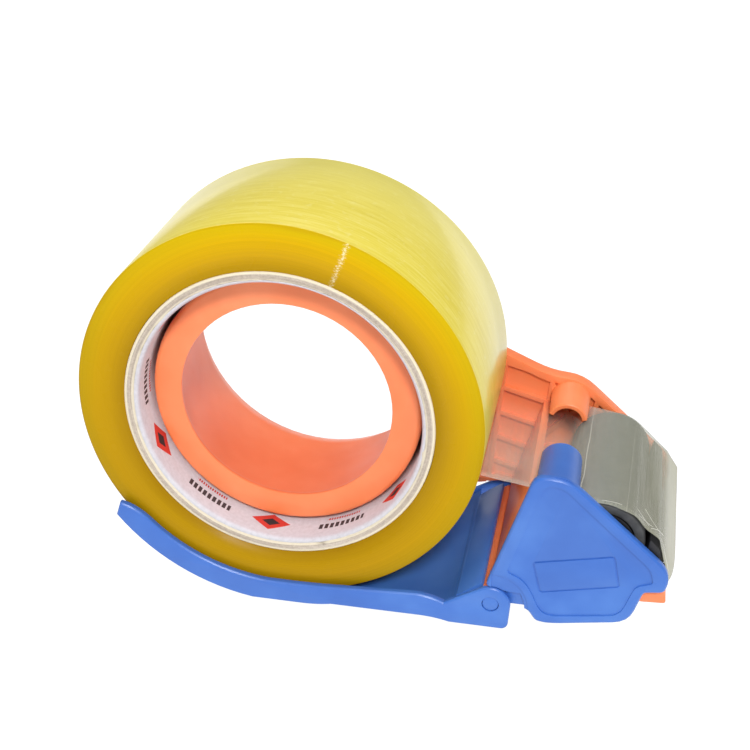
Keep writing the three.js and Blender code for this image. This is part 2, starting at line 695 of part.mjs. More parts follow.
// Straight from the roll to the roller, round its top, over the guard's corner and a free end.
function tapeWeb() {
  const radius = ROLLER.radius + GAP + WEB_THICKNESS / 2;
  const towards = Math.atan2(WEB_START.z - ROLLER.z, WEB_START.x - ROLLER.x);
  const reach = Math.hypot(WEB_START.z - ROLLER.z, WEB_START.x - ROLLER.x);
  const first = towards - Math.acos(radius / reach);
  const onward = Math.atan2(WEB_CORNER.z - ROLLER.z, WEB_CORNER.x - ROLLER.x);
  const span = Math.hypot(WEB_CORNER.z - ROLLER.z, WEB_CORNER.x - ROLLER.x);
  const last = onward + Math.acos(radius / span);
  const steps = 8;
  const chain = [new THREE.Vector2(WEB_START.x, WEB_START.z)];
  for (let i = 0; i <= steps; i += 1) {
    chain.push(polar(radius, THREE.MathUtils.lerp(first, last, i / steps), ROLLER));
  }
  chain.push(new THREE.Vector2(WEB_CORNER.x, WEB_CORNER.z));
  chain.push(new THREE.Vector2(WEB_END.x, WEB_END.z));
  return prism(strip(chain, WEB_THICKNESS), 0, TAPE_WIDTH);
}

// ---- Assembly ----------------------------------------------------------------------------------
const model = new THREE.Group();
model.add(
  piece('side_plate', sidePlate(), 'orange'),
  piece('hub_drum', hubDrum(), 'orange'),
  piece('frame_wall', frameWall(), 'orange'),
  piece('cover_plate', coverPlate(), 'blue'),
  piece('hold_down_arm', holdDownArm(), 'blue'),
  piece('hinge_pin', hingePin(), 'blue'),
  piece('roller_sleeve', rollerSleeve(), 'rubber'),
  piece('roller_spool', rollerSpool(), 'blackPlastic'),
  piece('roller_axle', rollerAxle(), 'steel'),
  piece('blade', bladeStrip(), 'steel'),
  piece('blade_guard', bladeGuard(), 'blackPlastic'),
  piece('tape_winding', tapeWinding(), 'winding'),
  piece('core_tube', coreTube(), 'paper'),
  piece('core_label', coreLabel(), 'label'),
  piece('tape_web', tapeWeb(), 'film'),
);
BLADE_SCREW.ys.forEach((y, i) => model.add(piece(`blade_screw_${i + 1}`, bladeScrew(y), 'steel')));
POST_CENTRES.forEach((at, i) => model.add(piece(`case_screw_${i + 1}`, caseScrew(at), 'steel')));

const bounds = new THREE.Box3().setFromObject(model);
const middle = bounds.getCenter(new THREE.Vector3());
model.position.set(-middle.x, -middle.y, -bounds.min.z);

const dispenser = new THREE.Group();
dispenser.add(model);
export default dispenser;
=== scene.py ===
"""Looks for the packing-tape hand dispenser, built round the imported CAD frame."""
import json
import math

import bmesh
import bpy
import numpy as np
from mathutils import Matrix, Vector


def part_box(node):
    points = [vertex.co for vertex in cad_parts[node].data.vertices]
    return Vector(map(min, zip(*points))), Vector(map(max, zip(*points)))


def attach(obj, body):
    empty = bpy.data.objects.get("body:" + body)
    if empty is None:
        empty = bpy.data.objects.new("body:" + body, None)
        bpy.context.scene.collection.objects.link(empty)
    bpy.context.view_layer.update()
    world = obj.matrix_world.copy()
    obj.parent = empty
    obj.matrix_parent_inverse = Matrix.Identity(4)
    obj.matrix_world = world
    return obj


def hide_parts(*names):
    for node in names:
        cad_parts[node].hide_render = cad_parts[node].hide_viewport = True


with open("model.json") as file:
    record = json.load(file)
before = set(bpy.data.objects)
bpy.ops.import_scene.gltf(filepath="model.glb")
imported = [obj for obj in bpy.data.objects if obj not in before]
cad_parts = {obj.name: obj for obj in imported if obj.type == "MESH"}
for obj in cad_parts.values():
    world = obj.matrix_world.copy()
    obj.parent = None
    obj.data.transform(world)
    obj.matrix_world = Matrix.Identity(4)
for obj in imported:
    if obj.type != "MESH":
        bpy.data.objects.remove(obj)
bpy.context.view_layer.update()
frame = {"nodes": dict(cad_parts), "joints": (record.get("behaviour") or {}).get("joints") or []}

# Sizes below are in mm unless they say otherwise. The crushed corner is the core's near inner one.
MM = 0.001
JOINT_AT = {j["name"]: Vector(j["pos_m"]) for j in frame["joints"]}
ROLL_LOW, ROLL_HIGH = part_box("tape_winding")
HUB = Vector((JOINT_AT["roll_spin"].x, ROLL_LOW.y, JOINT_AT["roll_spin"].z))

TAPE_WIDTH = (ROLL_HIGH.y - ROLL_LOW.y) / MM
ROLL_RADIUS = (ROLL_HIGH.x - ROLL_LOW.x) / MM / 2
CORE_LOW, CORE_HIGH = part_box("core_tube")
CORE_OUTER = (CORE_HIGH.x - CORE_LOW.x) / MM / 2
CORE_INNER = 38.1
LABEL_INNER = 37.65
GLUE_GAP = 0.15
WINDING_INNER = CORE_OUTER + GLUE_GAP
ROUND_STEPS = 256
CRUSHED_IN = 1.0
CRUSHED_BACK = 1.5


def at(x, y, z):
    """A place in millimetres from the hub's axis at the roll's near face, as a place in the scene."""
    return HUB + Vector((x, y, z)) * MM


# ---- Mesh helpers -------------------------------------------------------------------------------
def new_object(name, verts, faces, smooth=True):
    mesh = bpy.data.meshes.new(name)
    mesh.from_pydata([tuple(v) for v in verts], [], faces)
    mesh.validate()
    for polygon in mesh.polygons:
        polygon.use_smooth = smooth
    obj = bpy.data.objects.new(name, mesh)
    bpy.context.scene.collection.objects.link(obj)
    return obj


def outward(obj):
    """Turns every face of a closed mesh outwards."""
    bm = bmesh.new()
    bm.from_mesh(obj.data)
    bmesh.ops.recalc_face_normals(bm, faces=bm.faces)
    bm.to_mesh(obj.data)
    bm.free()


def lathe(name, profile, segments, shift=None):
    """Revolves a closed profile of (radius, y) in mm about the hub's axis. shift moves single points."""
    verts = []
    for i in range(segments):
        angle = 2 * math.pi * i / segments
        for k, (r, y) in enumerate(profile):
            if shift:
                r, y = shift(k, r, y, angle)
            verts.append(at(r * math.cos(angle), y, r * math.sin(angle)))
    count = len(profile)
    faces = []
    for i in range(segments):
        j = (i + 1) % segments
        for k in range(count):
            m = (k + 1) % count
            faces.append((i * count + k, i * count + m, j * count + m, j * count + k))
    obj = new_object(name, verts, faces)
    outward(obj)
    return obj


SMOOTH_ANGLE = math.radians(32)


def smooth_group():
    """A node group that shades smooth across every edge flatter than SMOOTH_ANGLE."""
    group = bpy.data.node_groups.new("smooth_flat_edges", "GeometryNodeTree")
    group.interface.new_socket("Geometry", in_out="INPUT", socket_type="NodeSocketGeometry")
    group.interface.new_socket("Geometry", in_out="OUTPUT", socket_type="NodeSocketGeometry")
    nodes, links = group.nodes, group.links
    source = nodes.new("NodeGroupInput")
    sink = nodes.new("NodeGroupOutput")
    angle = nodes.new("GeometryNodeInputMeshEdgeAngle")
    flat = nodes.new("FunctionNodeCompare")
    flat.operation = "LESS_EQUAL"
    flat.inputs[1].default_value = SMOOTH_ANGLE
    edges = nodes.new("GeometryNodeSetShadeSmooth")
    edges.domain = "EDGE"
    faces = nodes.new("GeometryNodeSetShadeSmooth")
    faces.domain = "FACE"
    links.new(angle.outputs["Unsigned Angle"], flat.inputs[0])
    links.new(source.outputs[0], faces.inputs["Geometry"])
    links.new(faces.outputs[0], edges.inputs["Geometry"])
    links.new(flat.outputs[0], edges.inputs["Shade Smooth"])
    links.new(edges.outputs[0], sink.inputs[0])
    return group


SMOOTH = smooth_group()
WELD_WITHIN = 1e-6
FLAT_ANGLE = math.radians(1)
BEVEL_ANGLE = math.radians(38)
BEVEL_STEPS = 2
# Nodes whose thin ribs keep their own triangles.
RIBBED = ("side_plate",)


def round_edges(node, width):
    """Welds a CAD mesh's triangles into flat faces and rounds its sharp edges, all by modifiers."""
    obj = frame["nodes"][node]
    weld = obj.modifiers.new("weld", "WELD")
    weld.merge_threshold = WELD_WITHIN
    if node not in RIBBED:
        flatten = obj.modifiers.new("flatten", "DECIMATE")
        flatten.decimate_type = "DISSOLVE"
        flatten.angle_limit = FLAT_ANGLE
    if width:
        bevel = obj.modifiers.new("bevel", "BEVEL")
        bevel.width = width * MM
        bevel.segments = BEVEL_STEPS
        bevel.limit_method = "ANGLE"
        bevel.angle_limit = BEVEL_ANGLE
        bevel.use_clamp_overlap = True
        bevel.miter_outer = "MITER_ARC"
    shade = obj.modifiers.new("shade", "NODES")
    shade.node_group = SMOOTH
    return obj


# ---- Material helpers ---------------------------------------------------------------------------
def srgb(r, g, b):
    """Linear colour from 8-bit display values."""
    def linear(v):
        v /= 255
        return v / 12.92 if v <= 0.04045 else ((v + 0.055) / 1.055) ** 2.4
    return (linear(r), linear(g), linear(b), 1)


class Shader:
    """A material's node tree, with short calls for the nodes used here."""

    def __init__(self, name, **settings):
        self.material = bpy.data.materials.new(name)
        self.material.use_nodes = True
        self.nodes = self.material.node_tree.nodes
        self.links = self.material.node_tree.links
        self.bsdf = self.nodes["Principled BSDF"]
        for key, value in settings.items():
            self.bsdf.inputs[key].default_value = value
        self.coordinates = self.nodes.new("ShaderNodeTexCoord").outputs["Object"]

    def link(self, source, target):
        self.links.new(source, target)

    def set(self, key, source):
        self.links.new(source, self.bsdf.inputs[key])

    def mapping(self, location=(0, 0, 0), rotation=(0, 0, 0), scale=(1, 1, 1)):
        node = self.nodes.new("ShaderNodeMapping")
        node.inputs["Location"].default_value = location
        node.inputs["Rotation"].default_value = rotation
        node.inputs["Scale"].default_value = scale
        self.link(self.coordinates, node.inputs["Vector"])
        return node.outputs[0]

    def noise(self, scale, detail=3, roughness=0.5, distortion=0, vector=None):
        node = self.nodes.new("ShaderNodeTexNoise")
        node.inputs["Scale"].default_value = scale
        node.inputs["Detail"].default_value = detail
        node.inputs["Roughness"].default_value = roughness
        node.inputs["Distortion"].default_value = distortion
        self.link(vector or self.coordinates, node.inputs["Vector"])
        return node.outputs["Fac"]

    def ramp(self, value, stops):
        node = self.nodes.new("ShaderNodeValToRGB")
        elements = node.color_ramp.elements
        while len(elements) < len(stops):
            elements.new(0.5)
        for element, (position, colour) in zip(elements, stops):
            element.position = position
            element.color = colour
        self.link(value, node.inputs["Fac"])
        return node.outputs["Color"]

    def grey(self, value, stops):
        return self.ramp(value, [(p, (v, v, v, 1)) for p, v in stops])

    def math(self, operation, a, b=0.0, clamp=False):
        node = self.nodes.new("ShaderNodeMath")
        node.operation = operation
        node.use_clamp = clamp
        for socket, value in zip(node.inputs, (a, b)):
            if isinstance(value, (int, float)):
                socket.default_value = value
            else:
                self.link(value, socket)
        return node.outputs[0]

    def plus(self, a, b):
        return self.math("ADD", a, b)

    def minus(self, a, b, clamp=False):
        return self.math("SUBTRACT", a, b, clamp)

    def times(self, a, b):
        return self.math("MULTIPLY", a, b)

    def over(self, a, b):
        return self.math("DIVIDE", a, b)

    def mix(self, factor, a, b, blend="MIX"):
        node = self.nodes.new("ShaderNodeMix")
        node.data_type = "RGBA"
        node.blend_type = blend
        for key, value in (("Factor", factor), ("A", a), ("B", b)):
            socket = next(s for s in node.inputs if s.name == key and s.enabled)
            if isinstance(value, (int, float, tuple)):
                socket.default_value = value
            else:
                self.link(value, socket)
        return next(s for s in node.outputs if s.enabled)

    def bump(self, height, strength, distance):
        node = self.nodes.new("ShaderNodeBump")
        node.inputs["Strength"].default_value = strength
        node.inputs["Distance"].default_value = distance
        self.link(height, node.inputs["Height"])
        self.set("Normal", node.outputs[0])

    def crease(self, x, y, start, end, width):
        """1 along the straight line between two places in mm, 0 away from it."""
        run = Vector(end) - Vector(start)
        dx, dy = self.minus(x, start[0]), self.minus(y, start[1])
        run_x, run_y = run / run.length
        on = self.plus(self.times(dx, run_x), self.times(dy, run_y))
        off = self.minus(self.times(dx, run_y), self.times(dy, run_x))
        beside = self.math("LESS_THAN", self.math("ABSOLUTE", off), width)
        middle = self.math("ABSOLUTE", self.minus(on, run.length / 2))
        return self.times(beside, self.math("LESS_THAN", middle, run.length / 2))

    def separate(self, vector):
        node = self.nodes.new("ShaderNodeSeparateXYZ")
        self.link(vector, node.inputs[0])
        return node.outputs

    def polar(self, centre):
        """Radius in mm, angle in turns and depth in mm from a point, about the Y axis."""
        x, y, z = self.separate(self.mapping(location=-centre))
        radius = self.math("SQRT", self.plus(self.times(x, x), self.times(z, z)))
        angle = self.over(self.math("ARCTAN2", z, x), 2 * math.pi)
        return self.times(radius, 1 / MM), angle, self.times(y, 1 / MM)

    def combine(self, x, y, z):
        node = self.nodes.new("ShaderNodeCombineXYZ")
        for socket, value in zip(node.inputs, (x, y, z)):
            if isinstance(value, (int, float)):
                socket.default_value = value
            else:
                self.link(value, socket)
        return node.outputs[0]

    def roughness(self, value, low, high):
        node = self.nodes.new("ShaderNodeMapRange")
        node.inputs["To Min"].default_value = low
        node.inputs["To Max"].default_value = high
        self.link(value, node.inputs["Value"])
        self.set("Roughness", node.outputs[0])


def paint(obj, *materials):
    obj.data.materials.clear()
    for material in materials:
        obj.data.materials.append(material)


# ---- Materials ----------------------------------------------------------------------------------
GLINT_ANGLE = 69  # degrees, on the roll's near face
# Places are in mm from the hub's axis at the roll's near face. A streak is its x, half its width and its
# strength. A crease is its two ends in x and y. The film's tone changes along FILM_RUN from FILM_FROM.
FILM_STREAKS = [
    (78.2, 0.13, 0.8),
    (75.4, 0.06, 0.5),
    (76.3, 0.05, 0.4),
    (90.2, 0.1, 0.25),
    (92.6, 0.08, 0.2),
]
FILM_CREASES = [
    ((95.0, 8.5), (102.4, 0.8)),
    ((100.4, 6.5), (97.0, 2.2)),
    ((93.0, 5.0), (96.5, 2.6)),
    ((93.5, 2.8), (97.5, 3.6)),
    ((84.0, 1.6), (89.0, 2.2)),
]
CREASE_WIDTH = 0.09
FILM_FROM = 53
FILM_RUN = 52


def moulded_plastic(name, base, dark, light, rough=(0.3, 0.46), glow=0.0):
    """Injection-moulded plastic: cloudy colour, a fine matt grain and faint scuffs."""
    s = Shader(name)
    cloud = s.noise(45, 3, 0.55)
    colour = s.ramp(cloud, [(0.3, dark), (0.5, base), (0.75, light)])
    specks = s.grey(s.noise(2600, 2, 0.6), [(0.66, 0), (0.74, 1)])
    colour = s.mix(s.times(specks, 0.12), colour, light)
    scuff_space = s.mapping(scale=(300, 900, 2400), rotation=(0.3, 0.5, 0.2))
    scuffs = s.grey(s.noise(1, 4, 0.65, vector=scuff_space), [(0.6, 0), (0.7, 1)])
    s.set("Base Color", s.mix(s.times(scuffs, 0.07), colour, light))
    s.roughness(s.noise(160, 4, 0.6), *rough)
    grain = s.plus(s.noise(5200, 2, 0.5), s.times(s.noise(700, 3, 0.5), 0.8))
    s.bump(grain, 0.16, 0.00008)
    if glow:
        s.bsdf.inputs["Subsurface Weight"].default_value = glow
        s.bsdf.inputs["Subsurface Radius"].default_value = (1.0, 0.35, 0.2)
        s.bsdf.inputs["Subsurface Scale"].default_value = 0.0025
    return s.material


def orange_plastic():
    return moulded_plastic(
        "orange_plastic", srgb(247, 134, 82), srgb(242, 126, 72), srgb(252, 146, 98), glow=0.05)


def blue_plastic():
    return moulded_plastic(
        "blue_plastic", srgb(59, 109, 195), srgb(53, 101, 187), srgb(76, 126, 207), rough=(0.3, 0.44))


def black_plastic():
    return moulded_plastic("black_plastic", srgb(34, 34, 37), srgb(28, 28, 31), srgb(52, 52, 56))


def roller_rubber():
    s = Shader("roller_rubber")
    axle = JOINT_AT["roller_spin"]
    _, angle, depth = s.polar(Vector((axle.x, HUB.y, axle.z)))
    rings = s.noise(1, 2, 0.5, vector=s.combine(s.times(depth, 5), s.times(angle, 3), 0))
    colour = s.ramp(s.noise(300, 4, 0.6), [(0.3, srgb(58, 59, 60)), (0.7, srgb(84, 85, 86))])
    dust = s.grey(s.noise(2200, 3, 0.7), [(0.64, 0), (0.76, 1)])
    s.set("Base Color", s.mix(s.times(dust, 0.25), colour, srgb(120, 120, 122)))
    s.roughness(s.noise(500, 3), 0.5, 0.75)
    s.bump(s.plus(rings, s.noise(3000, 2)), 0.25, 0.0001)
    return s.material


def steel(name, tone, rough):
    """Bright steel with fine grinding lines along X."""
    s = Shader(name, Metallic=1.0)
    lines = s.noise(1, 3, 0.6, vector=s.mapping(scale=(120, 9000, 9000)))
    shade = [max(0, v - 25) for v in tone]
    s.set("Base Color", s.ramp(lines, [(0.3, srgb(*shade)), (0.7, srgb(*tone))]))
    s.roughness(s.noise(400, 4, 0.6), *rough)
    s.bump(lines, 0.12, 0.00004)
    return s.material


def roll_face():
    """The cut edge of the wound tape: amber, lighter at its rim, with faint winding rings and painted
    glints. Painted light makes it lighter towards its top and darker towards its bottom.
    """
    s = Shader("roll_face", **{"IOR": 1.5, "Specular IOR Level": 0.06})
    radius, angle, _ = s.polar(HUB)
    share = s.over(s.minus(radius, WINDING_INNER), ROLL_RADIUS - WINDING_INNER)
    wave = s.noise(1, 3, 0.5, vector=s.combine(s.times(share, 2), s.times(angle, 7), 0))
    warped = s.plus(share, s.times(s.minus(wave, 0.5), 0.4))
    painted_lit_top_tones = s.ramp(warped, [
        (0.0, srgb(200, 155, 12)), (0.3, srgb(211, 164, 6)), (0.65, srgb(214, 171, 4)),
        (0.93, srgb(208, 176, 6)), (1.0, srgb(198, 164, 10)),
    ])
    painted_shaded_bottom_tones = s.ramp(warped, [
        (0.0, srgb(162, 122, 14)), (0.3, srgb(174, 134, 14)), (0.65, srgb(176, 135, 12)),
        (0.93, srgb(168, 132, 12)), (1.0, srgb(158, 122, 12)),
    ])
    # Painted light: the upper half of the face takes the lighter tones, the lower half the darker ones.
    height = s.math("SINE", s.times(s.plus(angle, 0.04), 2 * math.pi))
    lift = s.grey(s.plus(s.times(height, 0.5), 0.5), [(0.1, 0), (0.55, 0.42), (0.95, 1)])
    colour = s.mix(lift, painted_shaded_bottom_tones, painted_lit_top_tones)
    rings = s.noise(1, 4, 0.7, vector=s.combine(s.times(radius, 6), s.times(angle, 2), 0))
    ring_tone = s.grey(rings, [(0.35, 0.93), (0.65, 1.05)])
    colour = s.mix(1.0, colour, ring_tone, "MULTIPLY")
    across = s.times(s.minus(angle, GLINT_ANGLE / 360), 2 * math.pi * ROLL_RADIUS)
    leaned = s.plus(across, s.times(radius, 0.5))
    sparks = s.noise(1, 3, 0.8, 0.6, vector=s.combine(s.times(radius, 3.4), leaned, 5))
    falloff = s.minus(1.0, s.times(s.math("ABSOLUTE", across), 0.22), clamp=True)
    glints = s.grey(s.times(sparks, falloff), [(0.46, 0), (0.56, 0.75)])
    s.set("Base Color", s.mix(glints, colour, srgb(255, 250, 214)))
    s.roughness(s.noise(90, 3), 0.2, 0.34)
    swell = s.noise(1, 3, 0.5, vector=s.combine(s.times(radius, 0.2), s.times(angle, 9), 0))
    s.bump(s.plus(rings, s.times(swell, 3)), 0.1, 0.0002)
    return s.material


def roll_outside():
    """The outer turns: pale yellow clear film with trapped air, streaks along the tape and a soft gloss."""
    gloss = {"IOR": 1.5, "Specular IOR Level": 0.3, "Coat Weight": 0.3, "Coat Roughness": 0.12}
    s = Shader("roll_outside", **gloss)
    _, angle, depth = s.polar(HUB)
    along = s.times(angle, 2 * math.pi * ROLL_RADIUS)
    streak_space = s.combine(s.times(depth, 1.1), s.times(along, 0.07), 0)
    streaks = s.noise(1, 5, 0.65, vector=streak_space)
    fine_space = s.combine(s.times(depth, 0.5), s.times(along, 0.4), 0)
    bubbles = s.noise(1, 3, 0.6, 0.6, vector=fine_space)
    base = s.ramp(streaks, [
        (0.28, srgb(214, 196, 62)), (0.5, srgb(224, 207, 80)), (0.7, srgb(230, 216, 110)),
    ])
    pale = s.grey(bubbles, [(0.56, 0), (0.72, 1)])
    edge = s.grey(s.over(depth, TAPE_WIDTH), [(0, 0.6), (0.04, 0.1), (0.5, 0.0), (1, 0.0)])
    colour = s.mix(s.times(pale, 0.22), base, srgb(240, 234, 176))
    far = s.grey(s.over(depth, TAPE_WIDTH), [(0.4, 0), (1, 0.6)])
    colour = s.mix(far, colour, srgb(246, 234, 112))
    s.set("Base Color", s.mix(s.times(edge, 0.5), colour, srgb(206, 178, 40)))
    s.roughness(streaks, 0.22, 0.4)
    height = s.plus(s.times(streaks, 0.8), s.times(bubbles, 0.15))
    s.bump(height, 0.12, 0.0002)
    return s.material


def core_paper():
    """Grey recycled board: wound plies, fibres and a paler cut rim."""
    s = Shader("core_paper", Roughness=0.9)
    radius, angle, _ = s.polar(HUB)
    plies = s.noise(1, 3, 0.7, vector=s.combine(s.times(radius, 4.5), s.times(angle, 8), 0))
    fibres = s.noise(1500, 5, 0.75)
    board = s.ramp(s.plus(s.times(plies, 0.6), s.times(fibres, 0.4)), [
        (0.36, srgb(154, 141, 128)), (0.5, srgb(188, 174, 159)), (0.64, srgb(216, 204, 190)),
    ])
    share = s.over(s.minus(radius, CORE_INNER), CORE_OUTER - CORE_INNER)
    rim = s.grey(share, [(0.36, 0.7), (0.42, 0.0), (0.72, 0.0), (0.84, 0.9), (1.0, 1.0)])
    s.set("Base Color", s.mix(rim, board, srgb(240, 230, 204)))
    s.bump(s.plus(plies, fibres), 0.6, 0.0003)
    return s.material


def printed_liner():
    """Pinkish white liner paper with plain repeated marks: dark bars, red dashes and red lozenges."""
    s = Shader("printed_liner", Roughness=0.55)
    _, angle, depth = s.polar(HUB)
    paper = s.ramp(s.noise(900, 4, 0.6), [(0.3, srgb(200, 197, 203)), (0.7, srgb(214, 212, 219))])
    repeats = 6
    turn = s.math("FRACT", s.plus(s.times(angle, repeats), 0.35))
    along = s.times(turn, 2 * math.pi * CORE_INNER / repeats)

    def band(value, centre, half):
        return s.math("LESS_THAN", s.math("ABSOLUTE", s.minus(value, centre)), half)

    def both(a, b):
        return s.times(a, b)

    dash = s.math("LESS_THAN", s.math("FRACT", s.times(along, 0.62)), 0.66)
    bars = both(both(band(along, 10, 7), band(depth, 6.2, 1.1)), dash)
    small_dash = s.math("LESS_THAN", s.math("FRACT", s.times(along, 1.3)), 0.6)
    small = both(both(band(along, 10, 5), band(depth, 9.4, 0.5)), small_dash)
    slant = s.plus(s.math("ABSOLUTE", s.minus(along, 29)),
                   s.times(s.math("ABSOLUTE", s.minus(depth, 7)), 1.6))
    lozenge = s.math("LESS_THAN", slant, 5.6)
    inner = s.math("LESS_THAN", slant, 2.6)
    colour = s.mix(bars, paper, srgb(58, 52, 56))
    colour = s.mix(small, colour, srgb(196, 60, 52))
    colour = s.mix(lozenge, colour, srgb(206, 58, 48))
    colour = s.mix(inner, colour, srgb(48, 42, 46))
    s.set("Base Color", colour)
    s.bump(s.noise(1800, 3), 0.15, 0.0001)
    return s.material


def clear_film():
    """Thin clear tape, sticky side up: see-through, with a grey bloom, streaks and bright creases."""
    s = Shader("clear_film", IOR=1.48)
    x, y, _ = s.separate(s.mapping(location=-HUB))
    x = s.times(x, 1 / MM)
    depth = s.times(y, 1 / MM)
    haze = s.noise(110, 4, 0.55)
    streaks = s.noise(1, 3, 0.6, vector=s.combine(s.times(x, 0.9), s.times(depth, 0.05), 3))
    wander = s.times(s.minus(s.noise(60, 2), 0.5), 1.3)
    slanted = s.plus(s.plus(x, s.times(depth, -0.03)), wander)
    lines = None
    for place, width, weight in FILM_STREAKS:
        away = s.math("ABSOLUTE", s.minus(slanted, place))
        line = s.times(s.math("LESS_THAN", away, width), weight)
        lines = line if lines is None else s.math("MAXIMUM", lines, line)
    near = s.grey(s.over(depth, TAPE_WIDTH), [(0.0, 1), (0.7, 0.6), (1, 0.3)])
    lines = s.times(lines, near)
    for start, end in FILM_CREASES:
        lines = s.math("MAXIMUM", lines, s.crease(s.plus(x, wander), depth, start, end, CREASE_WIDTH))
    band = s.grey(s.over(depth, TAPE_WIDTH), [(0.0, 1), (0.035, 0.8), (0.05, 0)])
    place = s.over(s.minus(x, FILM_FROM), FILM_RUN)
    tone = s.ramp(place, [
        (0.0, srgb(226, 200, 186)), (0.4, srgb(206, 202, 190)), (0.6, srgb(180, 182, 170)),
        (0.8, srgb(168, 168, 148)), (0.9, srgb(166, 166, 144)), (0.95, srgb(176, 174, 150)),
    ])
    s.set("Base Color", s.mix(s.times(lines, 0.75), tone, srgb(250, 248, 238)))
    body = s.grey(place, [
        (0.0, 0.22), (0.46, 0.24), (0.56, 0.34), (0.78, 0.42), (0.9, 0.5), (0.94, 0.86), (1.0, 0.92),
    ])
    span = s.grey(place, [(0.4, 1), (0.5, 0)])
    far = s.grey(s.over(depth, TAPE_WIDTH), [(0.3, 0), (0.85, 1)])
    fade = s.minus(1.0, s.times(s.times(span, far), 0.9))
    bloom = s.times(s.plus(s.minus(haze, 0.5), s.minus(streaks, 0.5)), 0.16)
    opacity = s.plus(s.plus(body, bloom), s.times(band, 0.12))
    opacity = s.plus(s.times(opacity, fade), s.times(lines, 0.24))
    s.set("Alpha", s.math("MAXIMUM", opacity, 0.02, clamp=True))
    s.roughness(haze, 0.14, 0.3)
    s.bump(s.plus(streaks, s.times(lines, 0.5)), 0.25, 0.0004)
    return s.material


# ---- Camera, light and floor ---------------------------------------------------------------------
CAMERA_AT = (83.01, -283.01, 172.06)
CAMERA_FORWARD = Vector((-0.17432, 0.86189, -0.47620))
CAMERA_RIGHT = Vector((0.98013, 0.19838, 0.00025))
LENS = 63.54

WHITE = (1, 1, 1, 1)
WORLD_LIGHT = 0.32
# Each sun's direction, strength and softness in degrees.
SUNS = {
    "key": ((0.17, -0.7, 0.69), 2.4, 12),
    "overhead": ((-0.1, 0.25, 1), 1.1, 60),
}
# The floor glows a little, which keeps it pale in the shade. It lies in metres below the dispenser's
# feet, far enough to leave room for the open arm.
FLOOR_GLOW = 0.86
FLOOR_REACH = 60
ARM_ROOM = 0.09


def make_camera():
    data = bpy.data.cameras.new("camera")
    data.lens = LENS
    data.sensor_width = 36
    data.clip_start = 0.01
    camera = bpy.data.objects.new("camera", data)
    forward = CAMERA_FORWARD.normalized()
    right = (CAMERA_RIGHT - forward * CAMERA_RIGHT.dot(forward)).normalized()
    up = right.cross(forward)
    turn = Matrix((right, up, -forward)).transposed()
    camera.matrix_world = Matrix.Translation(at(*CAMERA_AT)) @ turn.to_4x4()
    bpy.context.scene.collection.objects.link(camera)
    bpy.context.scene.camera = camera


def sun(name, towards, strength, softness):
    """A distant light that shines from the direction given."""
    data = bpy.data.lights.new(name, "SUN")
    data.energy = strength
    data.angle = math.radians(softness)
    light = bpy.data.objects.new(name, data)
    light.rotation_euler = Vector(towards).to_track_quat("Z", "Y").to_euler()
    bpy.context.scene.collection.objects.link(light)


def make_stage():
    quarters = ((-1, -1), (1, -1), (1, 1), (-1, 1))
    corners = [(x * FLOOR_REACH, y * FLOOR_REACH, -ARM_ROOM) for x, y in quarters]
    floor = new_object("floor", corners, [(0, 1, 2, 3)], smooth=False)
    s = Shader("floor_white", Roughness=0.9, **{"Emission Color": WHITE, "Emission Strength": FLOOR_GLOW})
    s.set("Base Color", s.grey(s.noise(3), [(0.3, 0.24), (0.7, 0.26)]))
    paint(floor, s.material)
    world = bpy.data.worlds.new("studio")
    world.use_nodes = True
    background = world.node_tree.nodes["Background"]
    background.inputs["Color"].default_value = WHITE
    background.inputs["Strength"].default_value = WORLD_LIGHT
    bpy.context.scene.world = world
    for name, (towards, strength, softness) in SUNS.items():
        sun(name, towards, strength, softness)
    bpy.context.scene.view_settings.view_transform = "Standard"


# ---- Tape roll ----------------------------------------------------------------------------------
def make_winding(face, outside):
    edge = 0.35
    profile = [
        (WINDING_INNER, 0), (ROLL_RADIUS - edge, 0), (ROLL_RADIUS - edge * 0.3, edge * 0.3),
        (ROLL_RADIUS, edge), (ROLL_RADIUS, TAPE_WIDTH - edge),
        (ROLL_RADIUS - edge * 0.3, TAPE_WIDTH - edge * 0.3),
        (ROLL_RADIUS - edge, TAPE_WIDTH), (WINDING_INNER, TAPE_WIDTH),
    ]
    obj = lathe("roll_tape", profile, ROUND_STEPS)
    paint(obj, face, outside)
    for polygon in obj.data.polygons:
        middle = polygon.center - HUB
        on_outside = math.hypot(middle.x, middle.z) > (ROLL_RADIUS - 0.1) * MM
        polygon.material_index = 1 if on_outside else 0
    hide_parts("tape_winding")
    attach(obj, "roll")


# How far, in mm, the torn plies stand in from the bore at the crushed corner's two rims, and back.
RAGGED_IN = (0.22, 0.12)
RAGGED_BACK = 0.08
RAGGED_SEED = 7


def make_core(paper):
    """Cardboard core; its near inner corner is crushed back, with a ragged lip of torn plies."""
    rng = np.random.default_rng(RAGGED_SEED)
    ragged = rng.normal(0, 1, (2, ROUND_STEPS))
    kernel = np.array([0.2, 0.6, 0.2])
    ragged = np.array([np.convolve(np.r_[row[-1], row, row[0]], kernel, "valid") for row in ragged])

    def shift(k, r, y, angle):
        if k > 1:
            return r, y
        i = int(round(angle / (2 * math.pi) * ROUND_STEPS)) % ROUND_STEPS
        return r + RAGGED_IN[k] * ragged[k, i], y + RAGGED_BACK * abs(ragged[1 - k, i])

    profile = [
        (CORE_INNER + CRUSHED_IN, 0.12), (CORE_INNER + CRUSHED_IN + 0.3, 0.02), (CORE_OUTER - 0.6, 0.02),
        (CORE_OUTER, 0.15), (CORE_OUTER, TAPE_WIDTH - 0.15), (CORE_INNER + 0.3, TAPE_WIDTH - 0.1),
        (CORE_INNER, TAPE_WIDTH - 1), (CORE_INNER, CRUSHED_BACK),
    ]
    obj = lathe("core_board", profile, ROUND_STEPS, shift)
    paint(obj, paper)
    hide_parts("core_tube")
    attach(obj, "roll")


